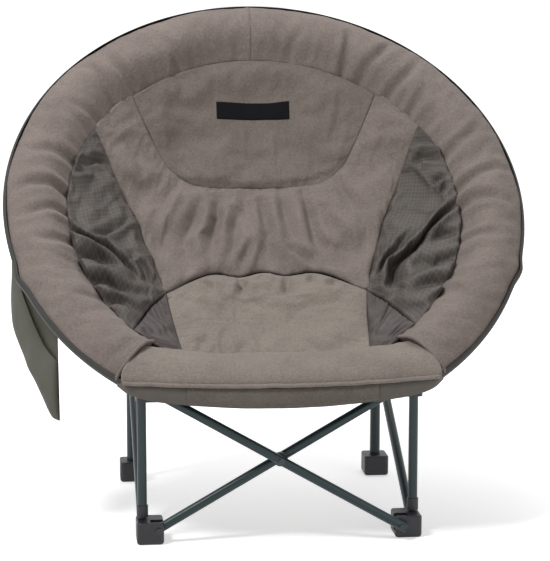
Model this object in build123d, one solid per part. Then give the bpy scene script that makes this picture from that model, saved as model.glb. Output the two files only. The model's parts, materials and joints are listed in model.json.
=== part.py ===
# Folding padded hoop chair: scissor legs, telescoping front posts, hinged tube hoop, padded sling.
# Millimetres.  +X is the viewer's right, the chair faces -Y, Z is up, the floor is Z = 0.
import os
from math import acos, asin, atan2, cos, degrees, hypot, radians, sin, sqrt, tan

from build123d import *

# hoop
HOOP_R = 440.0          # tube centre line
HOOP_TUBE = 19.0
HOOP_WALL = 1.5
HOOP_TILT = 46.0        # plane of the hoop above the floor
CORNER_X = 250.0        # front ends of the hoop
CORNER_Y = -14.0
CORNER_Z = 288.0
RIM_INSET = 94.0        # from the tube's centre line to the inner seam of the padded rim
RIM_OVER = 17.0         # padding outside the tube's centre line
RIM_IN = HOOP_R - RIM_INSET
RIM_OUT = HOOP_R + RIM_OVER
SPREAD = RIM_IN / 346.0   # the panels grow with the rim's inner seam
# top of the seat pads under the hoop plane
BOWL = [(0, -122), (150 * SPREAD, -108), (250 * SPREAD, -75), (345 * SPREAD, -17)]
PAD_T = 13.0
SLING_T = 2.6
FRONT_SEAM = -288.0 * SPREAD   # front edge of the seat panel in the hoop plane
SEAM = 0.6              # half gap at a sewn seam

# legs
LEG_TUBE = 16.0
LEG_WALL = 1.5
PIVOT_X = 206.0         # ends of the crossed tubes
PIVOT_LOW = 24.0
CROSS_ANGLE = 30.0
TUBE_A_Y = 9.0          # tube behind the foot plate
TUBE_B_Y = -14.5        # tube in front of the foot plate
TUBE_END = 9.0
PIN = 6.0
FIT = 0.05              # radial running clearance
POST_X = 232.0
POST_Y = 30.0
POST_IN_TOP = 279.0
POST_IN = 12.4
REAR_TUBE = 19.0
REAR_Y = 446.0
REAR_BEND_LOW = 430.0
REAR_BEND_HIGH = 560.0
FOOT_H = 38.0
POST_OUT_LOW = FOOT_H + 3.0
FOOT_W = 46.0
FOOT_D = 58.0
CLAMP_Z = 236.0

# hinges
EYE_Y = 14.0
EYE_Z = 298.0
EYE_PIN = 8.0
EYE_BOSS = 16.4
FOLD = 47.0             # turn of each hoop half in the fold

HALF_RISE = PIVOT_X * tan(radians(CROSS_ANGLE))
PIVOT_HIGH = PIVOT_LOW + 2 * HALF_RISE
CROSS_Z = PIVOT_LOW + HALF_RISE
CENTRE_S = sqrt(HOOP_R ** 2 - CORNER_X ** 2)
CT, ST = cos(radians(HOOP_TILT)), sin(radians(HOOP_TILT))
CENTRE = Vector(0, CORNER_Y + CENTRE_S * CT, CORNER_Z + CENTRE_S * ST)
HOOP = Location(Plane(origin=CENTRE, x_dir=(1, 0, 0), z_dir=(0, -ST, CT)))
TOP = Vector(0, CENTRE.Y + HOOP_R * CT, CENTRE.Z + HOOP_R * ST)
# the fold axis is tipped so that the top hinge stays in the middle plane all through the fold
_dy, _dz = TOP.Y - EYE_Y, TOP.Z - EYE_Z
AXIS_TILT = degrees(atan2(_dz, _dy)) + degrees(asin(HALF_RISE / hypot(_dy, _dz)))
AXIS = Vector(0, cos(radians(AXIS_TILT)), sin(radians(AXIS_TILT)))
CORNER_ANGLE = 180 - degrees(asin(CORNER_X / HOOP_R))    # from the top of the hoop
REAR_S = (REAR_Y - CENTRE.Y) / CT
REST_X = sqrt(HOOP_R ** 2 - REAR_S ** 2)                 # where the hoop rests on the rear post
REST_Z = CENTRE.Z + REAR_S * ST

LOW = (Align.CENTER, Align.CENTER, Align.MIN)
parts = {}


def rod(p, q, d, bore=0.0):
    p, q = Vector(*p) if isinstance(p, tuple) else p, Vector(*q) if isinstance(q, tuple) else q
    v = q - p
    s = Cylinder(d / 2, v.length, align=LOW)
    if bore:
        s -= Cylinder(bore / 2, v.length, align=LOW)
    return Location(Plane(origin=p, z_dir=v)) * s


def block(x0, x1, y0, y1, z0, z1):
    return Pos((x0 + x1) / 2, (y0 + y1) / 2, (z0 + z1) / 2) * Box(x1 - x0, y1 - y0, z1 - z0)


def pin_y(x, z, y0, y1, d=PIN, head=5.0, heads=(True, False)):
    s = rod((x, y0, z), (x, y1, z), d)
    if heads[0]:
        s += rod((x, y0, z), (x, y0 + 2.3, z), d + head)
    if heads[1]:
        s += rod((x, y1 - 2.3, z), (x, y1, z), d + head)
    return s


def ring_part(d, bore, a0, a1):
    """Tube along the hoop between two angles from its top, on the right-hand side."""
    sec = Plane.XZ * (Pos(HOOP_R, 0) * (Circle(d / 2) - Circle(bore / 2) if bore else Circle(d / 2)))
    return HOOP * (Rot(0, 0, 90 - a1) * revolve(sec, Axis.Z, a1 - a0))


def both(name, shape):
    """A right-hand piece and its mirrored twin."""
    parts["right_" + name] = shape
    parts["left_" + name] = mirror(shape, Plane.YZ)


def at(t, x=0.0, base=TOP):
    return Vector(x, base.Y, base.Z) + AXIS * t


# crossed front tubes, tube A from the left foot to the right corner
def cross_tube(y, s):
    lo, hi = Vector(-s * PIVOT_X, y, PIVOT_LOW), Vector(s * PIVOT_X, y, PIVOT_HIGH)
    u = (hi - lo).normalized()
    t = rod(lo - u * TUBE_END, hi + u * TUBE_END, LEG_TUBE, LEG_TUBE - 2 * LEG_WALL)
    for c in (lo, hi, Vector(0, y, CROSS_Z)):
        t -= rod((c.X, y - 12, c.Z), (c.X, y + 12, c.Z), PIN + 2 * FIT)
    return t


parts["cross_tube_a"] = cross_tube(TUBE_A_Y, 1)
parts["cross_tube_b"] = cross_tube(TUBE_B_Y, -1)
SPACER = rod((0, TUBE_B_Y + 8.3, CROSS_Z), (0, TUBE_A_Y - 8.05, CROSS_Z), 24, PIN + 2 * FIT)
parts["cross_spacer"] = SPACER
parts["cross_rivet"] = pin_y(0, CROSS_Z, TUBE_B_Y - 10.7, TUBE_A_Y + 10.4, heads=(True, True))

# front feet with their slots, posts and side braces
BR0 = Vector(POST_X, 46, 21)
BR1 = Vector(POST_X, REAR_Y - 16, CLAMP_Z)
foot = block(PIVOT_X - 9, PIVOT_X - 9 + FOOT_W, -6, FOOT_D - 6, 0, FOOT_H)
foot = fillet(foot.edges().filter_by(Axis.Z), 7)
foot = fillet(foot.faces().sort_by(Axis.Z)[0].edges(), 5)
foot = fillet(foot.faces().sort_by(Axis.Z)[-1].edges(), 3)
foot -= block(PIVOT_X - 30, PIVOT_X + 14, 0, 18.2, 11, 80)
foot -= rod((POST_X, POST_Y, 8), (POST_X, POST_Y, 60), POST_IN)
foot -= rod(BR0, BR1, LEG_TUBE)
foot -= rod((PIVOT_X, -20, PIVOT_LOW), (PIVOT_X, 28, PIVOT_LOW), PIN)
both("front_foot", foot)
both("inner_post", rod((POST_X, POST_Y, 8), (POST_X, POST_Y, POST_IN_TOP), POST_IN, POST_IN - 2.4))
both("side_brace", rod(BR0, BR1, LEG_TUBE, LEG_TUBE - 2 * LEG_WALL))
parts["left_foot_pin"] = pin_y(-PIVOT_X, PIVOT_LOW, -8.5, 28)
parts["right_foot_pin"] = pin_y(PIVOT_X, PIVOT_LOW, TUBE_B_Y - 10.7, 28)

# rear posts: one bent tube a side, standing in a rear foot and holding a rest for the hoop
rear_foot = block(POST_X - FOOT_W / 2, POST_X + FOOT_W / 2, REAR_Y - 26, REAR_Y + 26, 0, FOOT_H)
rear_foot = fillet(rear_foot.edges().filter_by(Axis.Z), 7)
rear_foot = fillet(rear_foot.faces().sort_by(Axis.Z)[0].edges(), 5)
rear_foot = fillet(rear_foot.faces().sort_by(Axis.Z)[-1].edges(), 3)
rear_foot -= rod((POST_X, REAR_Y, 8), (POST_X, REAR_Y, 60), REAR_TUBE)
both("rear_foot", rear_foot)
line = FilletPolyline(
    (POST_X, REAR_Y, 8), (POST_X, REAR_Y, REAR_BEND_LOW),
    (REST_X, REAR_Y, REAR_BEND_HIGH), (REST_X, REAR_Y, REST_Z - 26), radius=60)
sec = Plane(origin=(POST_X, REAR_Y, 8), z_dir=(0, 0, 1)) * (
    Circle(REAR_TUBE / 2) - Circle(REAR_TUBE / 2 - HOOP_WALL))
both("rear_post", sweep(sec, path=line))
clamp = rod((POST_X, REAR_Y, CLAMP_Z - 20), (POST_X, REAR_Y, CLAMP_Z + 24), 29)
u = (BR1 - BR0).normalized()
clamp += rod(BR1 - u * 30, BR1 + u * 4, 23)
clamp -= rod((POST_X, REAR_Y, 100), (POST_X, REAR_Y, 400), REAR_TUBE)
clamp -= rod(BR0, BR1, LEG_TUBE)
both("brace_clamp", clamp)
tube_room = [ring_part(HOOP_TUBE + 0.6, 0, 30, 70).moved(Location((0, 0, k))) for k in (0, 5, 10, 16, 24)]
rest = rod((REST_X, REAR_Y, REST_Z - 62), (REST_X, REAR_Y, REST_Z + 2), 26)
rest -= rod((REST_X, REAR_Y, REST_Z - 100), (REST_X, REAR_Y, REST_Z - 26), REAR_TUBE)
for t in tube_room:
    rest -= t
both("hoop_rest", rest.solids().sort_by(SortBy.VOLUME)[-1])
rest_room = rod((REST_X, REAR_Y, REST_Z - 150), (REST_X, REAR_Y, REST_Z + 3), 32)

# outer front posts, their lower collars and the corner brackets
outer = rod((POST_X, POST_Y, POST_OUT_LOW), (POST_X, POST_Y, POST_IN_TOP + 1), LEG_TUBE, LEG_TUBE - 3.0)
both("outer_post", outer)
both("post_collar", rod((POST_X, POST_Y, POST_OUT_LOW), (POST_X, POST_Y, POST_OUT_LOW + 20), 19.6, LEG_TUBE))
br = block(PIVOT_X - 10, PIVOT_X + 36, -6, 46, PIVOT_HIGH - 16, PIVOT_HIGH + 21)
br = fillet(br.edges().filter_by(Axis.Z), 7)
br -= block(PIVOT_X - 30, PIVOT_X + 14.5, 0, 18.2, PIVOT_HIGH - 40, PIVOT_HIGH + 13)
br += rod(at(-19.5, PIVOT_X, Vector(0, EYE_Y, EYE_Z)), at(-9.4, PIVOT_X, Vector(0, EYE_Y, EYE_Z)), EYE_BOSS)
br -= rod((POST_X, POST_Y, 200), (POST_X, POST_Y, POST_IN_TOP + 1), LEG_TUBE)
br -= rod((PIVOT_X, -20, PIVOT_HIGH), (PIVOT_X, 28, PIVOT_HIGH), PIN)
EYE = Vector(0, EYE_Y, EYE_Z)
end = CENTRE + Vector(CORNER_X, -CENTRE_S * CT, -CENTRE_S * ST)
arm = rod(end, Vector(PIVOT_X, EYE_Y, EYE_Z), 13.4)
for i in range(9):
    br -= arm.rotate(Axis((PIVOT_X, EYE_Y, EYE_Z), AXIS), -FOLD * i / 8)
br -= ring_part(24.6, 0, CORNER_ANGLE - 3, CORNER_ANGLE + 1.5)
br -= rod(at(-22, PIVOT_X, EYE), at(30, PIVOT_X, EYE), EYE_PIN)
both("corner_bracket", br)
both("eye_pin", rod(at(-22, PIVOT_X, EYE), at(12, PIVOT_X, EYE), EYE_PIN)
     + rod(at(9.5, PIVOT_X, EYE), at(12.5, PIVOT_X, EYE), EYE_PIN + 7))
parts["right_corner_pin"] = pin_y(PIVOT_X, PIVOT_HIGH, -8.5, 28)
parts["left_corner_pin"] = pin_y(-PIVOT_X, PIVOT_HIGH, TUBE_B_Y - 10.7, 28)

# hoop: two tubes a side with a sleeve at the widest point, a hinge eye in front, knuckles on top
END_A = degrees(asin(26 / HOOP_R))
both("hoop_upper_tube", ring_part(HOOP_TUBE, HOOP_TUBE - 2 * HOOP_WALL, END_A, 89.7))
both("hoop_lower_tube", ring_part(HOOP_TUBE, HOOP_TUBE - 2 * HOOP_WALL, 90.3, CORNER_ANGLE))
sleeve = ring_part(25, HOOP_TUBE, 85, 95)
both("hoop_sleeve", sleeve)
eye = rod(at(-9, PIVOT_X, EYE), at(9, PIVOT_X, EYE), 22)
fit = rod(end, Vector(PIVOT_X, EYE_Y, EYE_Z), 12) + eye
fit += ring_part(23, 0, CORNER_ANGLE - 2.2, CORNER_ANGLE + 0.4)
fit -= ring_part(HOOP_TUBE, 0, 120, CORNER_ANGLE)
fit -= rod(at(-40, PIVOT_X, EYE), at(40, PIVOT_X, EYE), EYE_PIN + 2 * FIT)
both("corner_eye", fit.solids().sort_by(SortBy.VOLUME)[-1])
inside = Vector(44, CENTRE.Y + sqrt(HOOP_R ** 2 - 44 ** 2) * CT, CENTRE.Z + sqrt(HOOP_R ** 2 - 44 ** 2) * ST)
for side, name in ((1, "right"), (-1, "left")):
    k = rod(at(side * 0.4), at(side * 16), 20)
    k += rod(at(side * 8), Vector(side * 27, inside.Y, inside.Z), 8.4)
    plug = ring_part(15.4, 0, degrees(asin(25 / HOOP_R)), degrees(asin(46 / HOOP_R)))
    k += plug if side > 0 else mirror(plug, Plane.YZ)
    k -= rod(at(-30), at(30), EYE_PIN + 2 * FIT)
    parts[name + "_top_knuckle"] = k
parts["top_hinge_pin"] = (rod(at(-18.6), at(18.6), EYE_PIN) + rod(at(-18.6), at(-16.3), 14)
                          + rod(at(16.3), at(18.6), 14))

# padded rim, in two halves that meet at the top
rim_pts = [(RIM_OUT, 2), (RIM_OUT - 7, 13), (HOOP_R - 20, 24), (HOOP_R - 60, 16), (RIM_IN + 6, -12),
           (RIM_IN, -22), (RIM_IN + 6, -28), (HOOP_R - 50, -20), (HOOP_R - 15, -15.5), (HOOP_R, -14),
           (RIM_OUT - 5, -9)]
rim_face = make_face(Spline(*[(p[0], p[1], 0) for p in rim_pts], periodic=True))
rim = revolve(Plane.XZ * rim_face, Axis.Z, 143 - 0.15)
rim = HOOP * (Rot(0, 0, 90 - 143) * rim)
rim -= ring_part(HOOP_TUBE + 0.6, 0, 0, 150)
rim -= ring_part(25.6, 0, 84.6, 95.4)
rim -= HOOP * block(-1, 48, HOOP_R - 27, RIM_OUT + 23, -40, 40)
rim -= rest_room
both("rim_pad", rim.solids().sort_by(SortBy.VOLUME)[-1])


# bowl of panels: layers turned about the hoop axis, cut into the sewn panels
def layer(top, bottom, ext=()):
    a = [(r, n + top) for r, n in BOWL] + list(ext)
    b = [(r, n + bottom) for r, n in BOWL] + [(r, n - (top - bottom)) for r, n in ext]
    t0 = Spline(*[(r, n, 0) for r, n in a], tangents=[(1, 0, 0), (1, 0.62, 0)])
    t1 = Spline(*[(r, n, 0) for r, n in b], tangents=[(1, 0, 0), (1, 0.62, 0)])
    f = make_face([t0, t1, Line((0, a[0][1], 0), (0, b[0][1], 0)), Line(t0 @ 1, t1 @ 1)])
    return revolve(Plane.XZ * f, Axis.Z, 360)


def panel(pts, base, grow=0.0):
    f = make_face(Polyline(*[(x * SPREAD, y * SPREAD, 0) for x, y in pts], close=True))
    if grow:
        f = offset(f, amount=grow, kind=Kind.INTERSECTION)
    return HOOP * (base & extrude(Plane.XY.offset(-300) * f, 600))


pads = layer(0, -PAD_T)
HEAD = [(-250, 400), (-222, 253), (-203, 222), (-167, 157), (-131, 126), (-95, 118),
        (95, 118), (131, 126), (167, 157), (203, 222), (222, 253), (250, 400)]
SIDE_IN = [(286, 169), (274, 141), (248, 78), (223, 22), (202, -39), (186, -96), (178, -129)]
WEDGE = [(178, -129), (208, -176), (232, -250)]
REAR_SEAM = [(-178, -129), (-132, -92), (-90, -71), (0, -66), (90, -71), (132, -92), (178, -129)]
parts["head_panel"] = panel(HEAD, pads, -SEAM)
BACK = ([(222, 253), (240, 330), (400, 330), (286, 169)] + SIDE_IN[1:]
        + REAR_SEAM[::-1][1:] + [(-x, y) for x, y in SIDE_IN[::-1][1:-1]]
        + [(-286, 169), (-400, 330), (-240, 330)] + HEAD[1:-1])
back = panel(BACK, pads, -SEAM)
parts["back_panel"] = back.solids().sort_by(SortBy.VOLUME)[-1] if len(back.solids()) > 1 else back
SEAT = REAR_SEAM + [(160, -288), (-160, -288)]
parts["seat_panel"] = panel(SEAT, pads, -SEAM)
both("side_panel", panel(SIDE_IN + [(208, -176), (232, -250), (330, -300), (450, -50), (420, 240)], pads, -SEAM))
both("corner_panel", panel(WEDGE + [(246, -288), (160, -288)], pads, -SEAM))
LABEL = [(-68, 246), (68, 246), (68, 276), (-68, 276)]
parts["blank_label"] = panel(LABEL, layer(1.4, 0.2))

under = layer(-PAD_T - 0.5, -PAD_T - 0.5 - SLING_T)
lip_z = BOWL[-1][1] - PAD_T - 0.5
lip_pts = [(RIM_IN - 1.4, lip_z), (HOOP_R - 50, lip_z + 1.5), (HOOP_R - 12, lip_z + 6.5)]
lip = Spline(*[(r, n, 0) for r, n in lip_pts], tangents=[(1, 0, 0), (1, 0.16, 0)])
lip_low = Spline(*[(r, n - SLING_T, 0) for r, n in lip_pts], tangents=[(1, 0, 0), (1, 0.16, 0)])
lip_face = make_face([lip, lip_low, Line(lip @ 0, lip_low @ 0), Line(lip @ 1, lip_low @ 1)])
under += revolve(Plane.XZ * lip_face, Axis.Z, 360)
sling = HOOP * (under & block(-2 * HOOP_R, 2 * HOOP_R, FRONT_SEAM, 2 * HOOP_R, -300, 300))
sling -= rest_room
sling -= mirror(rest_room, Plane.YZ)
parts["sling"] = sling

# front roll of the seat and the sling hem under it
ROLL = [(79.1, 301), (40, 311), (-12, 303), (-41, 281), (-47, 263), (-39, 259), (-27, 271), (2, 285),
        (40, 290), (70, 289)]
secs = []
for x in (-196, -98, 0, 98, 196):
    k = (x / 196) ** 2
    e = Spline(*[(x, y - 27 * k, z + 25 * k) for y, z in ROLL], periodic=True)
    secs.append(make_face(e))
parts["front_roll"] = loft(secs)
hem_top = [(-196, 283.7), (-98, 264.7), (0, 258.7), (98, 264.7), (196, 283.7)]
hem_low = [(262, 262), (196, 243), (98, 227), (0, 222), (-98, 227), (-196, 243), (-262, 262)]
e = [Polyline(*[(x, z, 0) for x, z in [(-262, 262), (-246, 285)] + hem_top[:1]]),
     Spline(*[(x, z, 0) for x, z in hem_top]),
     Polyline(*[(x, z, 0) for x, z in hem_top[-1:] + [(246, 285), (262, 262)]]),
     Spline(*[(x, z, 0) for x, z in hem_low])]
parts["front_hem"] = extrude(Plane.XZ.offset(48) * make_face(e), 2.6)

# side pocket, open along its sloping mouth
POCKET_AT = Vector(-446, 226, 0)
POCKET_DIR = Vector(0.603, -0.798, 0)
pp = Plane(origin=POCKET_AT, x_dir=POCKET_DIR, z_dir=POCKET_DIR.cross(Vector(0, 0, 1)))
bag = [(0, 462), (6, 351), (68, 262), (113, 192), (127, 190), (124, 294), (88, 322), (40, 392)]
flat = make_face(Polyline(*[(u, z, 0) for u, z in bag], close=True))
inner = [(8, 470), (13, 354), (73, 268), (116, 204), (120, 206), (118, 310), (94, 340), (46, 410)]
hollow = make_face(Polyline(*[(u, z, 0) for u, z in inner], close=True))
pocket = extrude(pp * flat, 20) - Location(pp) * Pos(0, 0, 2) * extrude(hollow, 16)
hang = [(0, 462), (0, 505), (60, 446.3), (124, 379.5), (124, 294), (88, 322), (40, 392)]
pocket += extrude(pp * make_face(Polyline(*[(u, z, 0) for u, z in hang], close=True)), 2)
parts["side_pocket"] = pocket

box = Compound(children=list(parts.values())).bounding_box()
SHIFT = Vector(-box.center().X, -box.center().Y, -box.min.Z)
SPAN = box.size

if __name__ == "__main__":
    os.makedirs("parts", exist_ok=True)
    for name, shape in parts.items():
        s = shape.moved(Location(SHIFT))
        export_step(s if len(s.solids()) != 1 else s.solids()[0], "parts/" + name + ".step")
    print(len(parts), "pieces", SPAN)
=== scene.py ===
import json
import math

import bmesh
import bpy
import numpy as np
from bpy.props import FloatProperty, FloatVectorProperty, IntProperty, PointerProperty
from mathutils import Matrix, Vector, noise
from mathutils.bvhtree import BVHTree
from mathutils.kdtree import KDTree


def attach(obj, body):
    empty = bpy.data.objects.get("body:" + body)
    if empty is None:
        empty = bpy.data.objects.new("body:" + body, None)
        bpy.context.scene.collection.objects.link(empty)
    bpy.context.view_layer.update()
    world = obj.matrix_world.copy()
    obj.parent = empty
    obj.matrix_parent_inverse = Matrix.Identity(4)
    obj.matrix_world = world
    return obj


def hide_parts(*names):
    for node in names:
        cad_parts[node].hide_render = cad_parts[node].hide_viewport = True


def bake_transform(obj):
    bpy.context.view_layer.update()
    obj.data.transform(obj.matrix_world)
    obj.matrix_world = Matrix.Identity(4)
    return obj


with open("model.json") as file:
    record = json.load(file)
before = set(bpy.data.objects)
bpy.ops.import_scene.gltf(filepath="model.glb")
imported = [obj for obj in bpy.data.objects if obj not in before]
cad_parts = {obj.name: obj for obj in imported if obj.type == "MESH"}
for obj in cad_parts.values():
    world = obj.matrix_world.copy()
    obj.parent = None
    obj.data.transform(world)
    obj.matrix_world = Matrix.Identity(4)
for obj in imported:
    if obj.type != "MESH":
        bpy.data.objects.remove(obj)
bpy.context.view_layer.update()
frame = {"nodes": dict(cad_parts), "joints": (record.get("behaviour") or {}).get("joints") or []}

bl_info = {
    "name": "Padded Hoop Chair",
    "version": (1, 0, 0),
    "blender": (4, 5, 0),
    "location": "View3D > Sidebar > Chair",
    "description": "Folding fishing chair with a padded hoop seat, its cloth, frame finishes and stage",
    "category": "Add Mesh",
}

MM = 0.001
HINGE = Vector(next(j for j in frame["joints"] if j["name"] == "top_hinge")["pos_m"])

# seams in the hoop plane, in millimetres from the hoop's centre, right half
HEAD_SIDE = [(149, 139), (167, 157), (203, 222), (224, 262)]
HEAD_LOW = [(-149, 139), (-131, 126), (-95, 118), (0, 117), (95, 118), (131, 126), (149, 139)]
SIDE_IN = [(293, 182), (274, 141), (248, 78), (223, 22), (202, -39), (186, -96), (178, -129)]
WEDGE = [(178, -129), (208, -176), (238, -250)]
REAR = [(-178, -129), (-132, -92), (-90, -71), (-44, -76), (0, -65), (40, -74), (90, -71), (132, -92), (178, -129)]
FRONT_Y = -288.0
PAD_R = 350.0
# creases as lines of the hoop plane with a depth and a width, in millimetres
BACK_CREASES = [
    ([(-72, 92), (-84, 20), (-106, -66)], 11, 12), ([(-40, 60), (-52, 10), (-60, -60)], 12, 11),
    ([(-20, 108), (-26, 50), (-22, 10)], 6, 12), ([(6, 80), (14, 20), (6, -56)], 11, 12),
    ([(44, 108), (50, 40), (64, -40)], 8, 12), ([(84, 98), (104, 10), (128, -74)], 11, 12),
    ([(-110, 80), (-136, 0), (-146, -88)], 10, 12), ([(120, 60), (144, -10), (160, -100)], 9, 12),
    ([(-20, -10), (-36, -44), (-44, -72)], 9, 9), ([(60, -20), (84, -44), (96, -68)], 9, 9),
    ([(-150, 120), (-186, 50), (-196, -30)], 6, 11), ([(150, 120), (186, 44), (196, -40)], 6, 11),
    ([(-232, 190), (-214, 130), (-206, 70)], 5, 10), ([(236, 190), (216, 126), (210, 66)], 5, 10),
]
LEFT_CREASES = [
    ([(348, -36), (318, -56), (286, -66), (245, -88), (206, -128)], 15, 9),
    ([(346, -100), (300, -94), (246, -112)], 14, 13),
    ([(338, -156), (285, -150), (232, -172)], 13, 12), ([(318, -206), (270, -192), (224, -204)], 9, 9),
    ([(300, -40), (262, -4), (246, 24)], 7, 8), ([(316, 106), (296, 120), (278, 122)], 7, 8),
    ([(330, 84), (304, 100), (272, 98)], 6, 8), ([(236, -60), (214, -96), (200, -120)], 8, 7),
]
RIGHT_CREASES = [
    ([(348, 6), (312, -18), (268, -66), (238, -96), (224, -140), (218, -172)], 17, 9),
    ([(340, -62), (300, -58), (262, -78)], 9, 10), ([(346, -112), (306, -116), (258, -128)], 10, 11),
    ([(330, -174), (284, -166), (242, -182)], 11, 11), ([(262, -30), (232, -62), (206, -92)], 8, 9),
    ([(330, 62), (306, 58)], 7, 7), ([(336, 44), (314, 34)], 7, 7), ([(320, 104), (300, 118), (284, 112)], 9, 9),
    ([(222, -60), (206, -90), (190, -112)], 8, 7), ([(310, -212), (270, -206)], 7, 9),
]
SEAT_CREASES = [
    ([(-118, -84), (-104, -112), (-98, -140)], 8, 8), ([(-44, -78), (-40, -104), (-44, -140)], 10, 8),
    ([(42, -76), (40, -108), (36, -136)], 9, 8), ([(0, -66), (-4, -96)], 5, 7), ([(92, -72), (84, -110)], 7, 8),
    ([(132, -92), (112, -122)], 7, 8), ([(-60, -288), (-56, -250)], 5, 9), ([(70, -288), (62, -246)], 5, 9),
    ([(-130, -288), (-118, -240)], 5, 9), ([(128, -288), (116, -244)], 5, 9),
]
# where the tube's sleeve swells the rim, in radians from the top
BUMP_AT = 1.92
RIM_SWEEP = math.radians(143)
SLING_SWEEP = math.radians(147)
# how far the sling hangs below the bowl's panels, in millimetres
SLING_DROP = 15.5
# half the width, in millimetres, of the span between the two halves of the hoop that across() works out but does not
# use
BEND = 100.0
FRONT_BEND = 150.0
RIM_BEND = 52.0
# cloth simulation: its length in frames, how far a seam's grip reaches in metres, and the caps on a point's move
CLOTH_FRAMES = 20
SEAM_GRIP = 0.012
CLOTH_CAP = 0.008
RIM_PRESSURE = 2.0
PANEL_PRESSURE = 1.5
# points closer than this, in metres, are one
WELD = 0.00002
RIM_WELT = 0.0034
ROLL_WELT = 0.0036
# dents across the rim: degrees from the top, depth and width in millimetres, and how far across they run
LEFT_DENTS = [(24, 7, 9, 0.9), (38, 9, 8, 0.8), (47, 8, 9, 1.0), (56, 6, 8, 0.6), (74, 8, 10, 0.9), (86, 10, 9, 1.0),
              (93, 9, 8, 0.9), (101, 7, 9, 0.7), (121, 5, 10, 0.6)]
RIGHT_DENTS = [(12, 5, 9, 0.6), (27, 9, 8, 0.8), (36, 10, 9, 1.0), (44, 9, 8, 0.9), (52, 7, 9, 0.6), (71, 8, 10, 0.9),
               (84, 10, 9, 1.0), (92, 9, 8, 0.9), (104, 7, 9, 0.7), (124, 5, 10, 0.6)]
BOWL = [(150, -108), (250, -75), (345, -17)]
BOWL_LOW = -122.0
RIM = [(457, 2), (450, 13), (420, 24), (380, 16), (352, -12), (346, -22), (352, -28), (390, -20), (425, -15.5),
       (440, -14), (452, -9)]
SLEEVE = [(455, 10), (459.5, 3), (458, -6), (451, -14), (428, -22), (390, -29), (345, -33)]
ROLL = [(79.3, 301), (44, 315), (-8, 312), (-40, 298), (-50, 281), (-43, 274), (-27, 277), (2, 284), (40, 289),
        (72, 288)]
HEM_TOP = [(-274, 290), (-196, 284), (-98, 279), (0, 277), (98, 279), (196, 284), (274, 290)]
HEM_LOW = [(-274, 277), (-250, 264), (-196, 252), (-98, 243), (0, 240), (98, 243), (196, 252), (250, 264), (274, 277)]
# half the label's width, and its lower and upper edges
LABEL = (68, 246, 276)
POCKET_LEFT = [(113, 191), (68, 262), (6, 351), (0, 462)]
POCKET_MOUTH = [(0, 462), (40, 392), (88, 322), (124, 294)]
POCKET_HANG = [(0, 505), (60, 441), (124, 379.5)]
# lamps: place in metres, width in metres and power in watts
LAMPS = {
    "key": ((-1.7, -1.2, 3.2), 0.9, 84),
    "fill": ((2.8, -2.6, 1.4), 2.0, 20),
    "top": ((0.3, 1.0, 3.6), 2.0, 40),
}
WHITE, SHADE, BLACK = (1, 1, 1, 1), (0.3, 0.3, 0.3, 1), (0, 0, 0, 1)
LENS, SENSOR, SHIFT = 137.65, 36.0, (0.0131, -0.0046)
CAMERA_AWAY, CAMERA_RISE, CAMERA_TURN = 3.7, math.radians(9), math.radians(-6.07)


def linear(rgb):
    """Scene-linear colour of an sRGB triple from 0 to 255."""
    return tuple(((c / 255 + 0.055) / 1.055) ** 2.4 if c > 10 else c / 255 / 12.92 for c in rgb)


def length(name, text, metres):
    return FloatProperty(name=name, description=text, default=metres, unit="LENGTH", subtype="DISTANCE")


def colour(name, rgb):
    return FloatVectorProperty(
        name=name, description=name + " in scene-linear values", default=linear(rgb), subtype="COLOR", size=3, min=0,
        max=1
    )


class ChairSizes(bpy.types.PropertyGroup):
    hoop_radius: length("Hoop Radius", "Centre line of the hoop tube", 0.440)
    hoop_tilt: FloatProperty(
        name="Hoop Tilt", description="Slope of the hoop plane", default=math.radians(46), unit="ROTATION",
        subtype="ANGLE"
    )
    pad_puff: length("Pad Puff", "Rise of a panel between its seams", 0.006)
    seam_dip: length("Seam Dip", "Depth of the stitching at a panel's edge", 0.004)
    pad_thickness: length("Pad Thickness", "Cloth and wadding of a panel", 0.009)
    cloth_thickness: length("Cloth Thickness", "Thickness of plain cloth", 0.0016)
    crease: length("Crease", "Depth of the gathers along the seams", 0.0065)
    slack: FloatProperty(
        name="Slack", description="Spare cloth over a pad's filling, as a share of its length", default=0.035,
        subtype="FACTOR"
    )
    steps: IntProperty(name="Steps", description="Divisions along a rim half", default=220, min=24)


class ChairColours(bpy.types.PropertyGroup):
    fleece: colour("Fleece", (128, 117, 111))
    head: colour("Head Fleece", (120, 110, 104))
    seat: colour("Seat Fleece", (134, 125, 117))
    ripstop: colour("Ripstop", (84, 78, 73))
    nylon: colour("Corner Nylon", (72, 64, 62))
    sling: colour("Sling Cloth", (40, 39, 37))
    pocket: colour("Pocket Cloth", (84, 83, 73))
    hem: colour("Hem Cloth", (84, 78, 72))
    strip: colour("Hem Fleece", (104, 97, 91))
    label: colour("Label", (22, 22, 26))
    frame: colour("Frame Paint", (14, 38, 41))
    plastic: colour("Black Plastic", (24, 23, 29))
    steel: colour("Pin Steel", (62, 66, 68))


class Val:
    """A shader socket that takes part in arithmetic."""

    def __init__(self, tree, socket):
        self.tree, self.socket = tree, socket

    def _math(self, op, a, b=None):
        return self.tree.add("ShaderNodeMath", {"operation": op}, {i: v for i, v in enumerate((a, b)) if v is not None})

    def __add__(self, o):
        return self._math("ADD", self, o)

    def __sub__(self, o):
        return self._math("SUBTRACT", self, o)

    def __mul__(self, o):
        return self._math("MULTIPLY", self, o)

    def __truediv__(self, o):
        return self._math("DIVIDE", self, o)

    def __rsub__(self, o):
        return self._math("SUBTRACT", o, self)

    def __pow__(self, o):
        return self._math("POWER", self, o)

    def __gt__(self, o):
        return self._math("GREATER_THAN", self, o)

    __radd__ = __add__
    __rmul__ = __mul__

    def fract(self):
        return self._math("FRACT", self)

    def sine(self):
        return self._math("SINE", self)


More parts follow.
